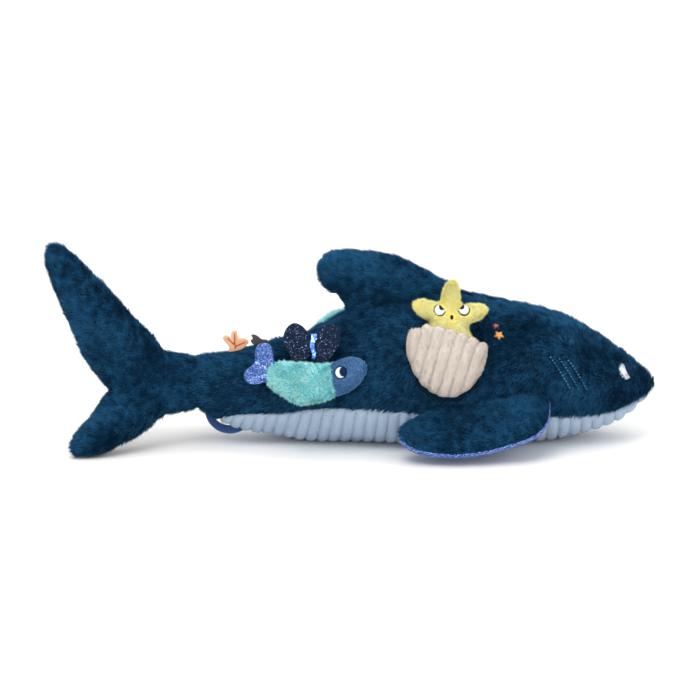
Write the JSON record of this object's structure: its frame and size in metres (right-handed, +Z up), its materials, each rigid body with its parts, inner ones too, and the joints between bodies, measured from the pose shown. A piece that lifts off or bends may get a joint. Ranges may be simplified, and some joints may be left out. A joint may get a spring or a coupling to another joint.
{
  "type": "plush shark",
  "caption": "Plush shark with long navy pile, ribbed pale belly, shell pocket with a removable star, a sewn-on fish and small coral tabs",
  "frame": {"origin": "on the flat resting patch of the belly, on the middle of the width and about 3.5 mm behind the middle of the overall length", "axes": "+X towards the nose, +Y towards the toy's left, +Z up"},
  "size_m": [0.5449, 0.1976, 0.1864],
  "materials": {
    "navy_pile": "long pile, very soft",
    "belly_cord": "wide ribbed plush",
    "filling": "polyester fibre",
    "pale_thread": "satin stitch",
    "white_thread": "satin stitch",
    "dark_thread": "satin stitch",
    "red_thread": "satin stitch",
    "orange_thread": "satin stitch",
    "teal_pile": "curly pile",
    "cream_cord": "wide ribbed plush",
    "glitter_cloth": "metallic specks on blue cloth",
    "yellow_pile": "short pile",
    "blue_pile": "short pile",
    "net": "fine net with glitter",
    "foil": "iridescent foil",
    "orange_felt": "padded felt",
    "vein_thread": "satin stitch",
    "grey_suede": "suede cloth",
    "blue_ribbon": "satin ribbon"
  },
  "bodies": {
    "shark": {"belly_panel": "belly_cord", "body_panel_right": "navy_pile", "body_panel_left": "navy_pile", "body_filling": "filling", "gill_stitches_right": "pale_thread", "gill_stitches_left": "pale_thread", "eye_white_right": "white_thread", "eye_white_left": "white_thread", "eye_pupil_right": "dark_thread", "eye_pupil_left": "dark_thread", "small_star_red": "red_thread", "small_star_orange": "orange_thread", "teal_patch": "teal_pile", "shell_pocket": "cream_cord"},
    "tail": {"tail_panel_right": "navy_pile", "tail_panel_left": "navy_pile", "tail_filling": "filling"},
    "dorsal_fin": {"dorsal_panel_right": "navy_pile", "dorsal_panel_left": "navy_pile", "dorsal_filling": "filling"},
    "fin_right": {"fin_right_top": "navy_pile", "fin_right_underside": "glitter_cloth", "fin_right_filling": "filling"},
    "fin_left": {"fin_left_top": "navy_pile", "fin_left_underside": "glitter_cloth", "fin_left_filling": "filling"},
    "star": {"star_front": "yellow_pile", "star_back": "yellow_pile", "star_filling": "filling", "star_eye_whites": "white_thread", "star_pupils": "dark_thread", "star_mouth": "dark_thread"},
    "fish": {"fish_head": "blue_pile", "fish_body_front": "teal_pile", "fish_body_back": "teal_pile", "fish_filling": "filling", "fish_tail": "glitter_cloth", "fish_eye_white": "white_thread", "fish_eye_pupil": "dark_thread"},
    "rear_wing": {"wing_rear": "net"},
    "front_wing": {"wing_front": "net", "foil_ribbon": "foil"},
    "coral": {"coral_frond": "orange_felt", "coral_veins": "vein_thread"},
    "grey_coral": {"grey_frond": "grey_suede"},
    "ribbon": {"ribbon_loop": "blue_ribbon"}
  },
  "joints": [
    {"name": "tail_sway", "type": "hinge", "parent": "shark", "child": "tail", "pos_m": [-0.151, -0.018, 0.057], "axis": [0, 0, 1], "range_deg": [-18, 18], "stiffness_Nm_per_rad": 1.5},
    {"name": "dorsal_flop", "type": "hinge", "parent": "shark", "child": "dorsal_fin", "pos_m": [-0.0037, 0, 0.1124], "axis": [0.9827, 0, 0.185], "range_deg": [-10, 10], "stiffness_Nm_per_rad": 1},
    {"name": "fin_right_flap", "type": "hinge", "parent": "shark", "child": "fin_right", "pos_m": [0.1799, -0.0605, 0.042], "axis": [-1, 0, 0], "range_deg": [-8, 16], "stiffness_Nm_per_rad": 0.5},
    {"name": "fin_left_flap", "type": "hinge", "parent": "shark", "child": "fin_left", "pos_m": [0.1799, 0.0605, 0.042], "axis": [1, 0, 0], "range_deg": [-8, 16], "stiffness_Nm_per_rad": 0.5},
    {"name": "star_pull", "type": "slide", "parent": "shark", "child": "star", "axis": [0, 0.309, 0.9511], "range_m": [0, 0.05]},
    {"name": "fish_flap", "type": "hinge", "parent": "shark", "child": "fish", "pos_m": [-0.03, -0.0464, 0.079], "axis": [-0.9877, 0.147, -0.0535], "range_deg": [0, 35], "stiffness_Nm_per_rad": 0.2},
    {"name": "rear_wing_flop", "type": "hinge", "parent": "fish", "child": "rear_wing", "pos_m": [-0.0439, -0.0515, 0.0866], "axis": [0.9877, -0.147, 0.0535], "range_deg": [-15, 20], "stiffness_Nm_per_rad": 0.02},
    {"name": "front_wing_flop", "type": "hinge", "parent": "fish", "child": "front_wing", "pos_m": [-0.0273, -0.0554, 0.0881], "axis": [0.9877, -0.147, 0.0535], "range_deg": [-15, 20], "stiffness_Nm_per_rad": 0.02},
    {"name": "coral_flop", "type": "hinge", "parent": "shark", "child": "coral", "pos_m": [-0.1032, -0.0085, 0.0818], "axis": [1, 0, 0], "range_deg": [-30, 30], "stiffness_Nm_per_rad": 0.02},
    {"name": "grey_coral_flop", "type": "hinge", "parent": "shark", "child": "grey_coral", "pos_m": [-0.0801, -0.0053, 0.0866], "axis": [1, 0, 0], "range_deg": [-25, 25], "stiffness_Nm_per_rad": 0.02},
    {"name": "ribbon_swing", "type": "hinge", "parent": "shark", "child": "ribbon", "pos_m": [-0.128, -0.0093, 0.0276], "axis": [0.9048, 0, -0.4259], "range_deg": [-15, 15], "stiffness_Nm_per_rad": 0.02}
  ]
}
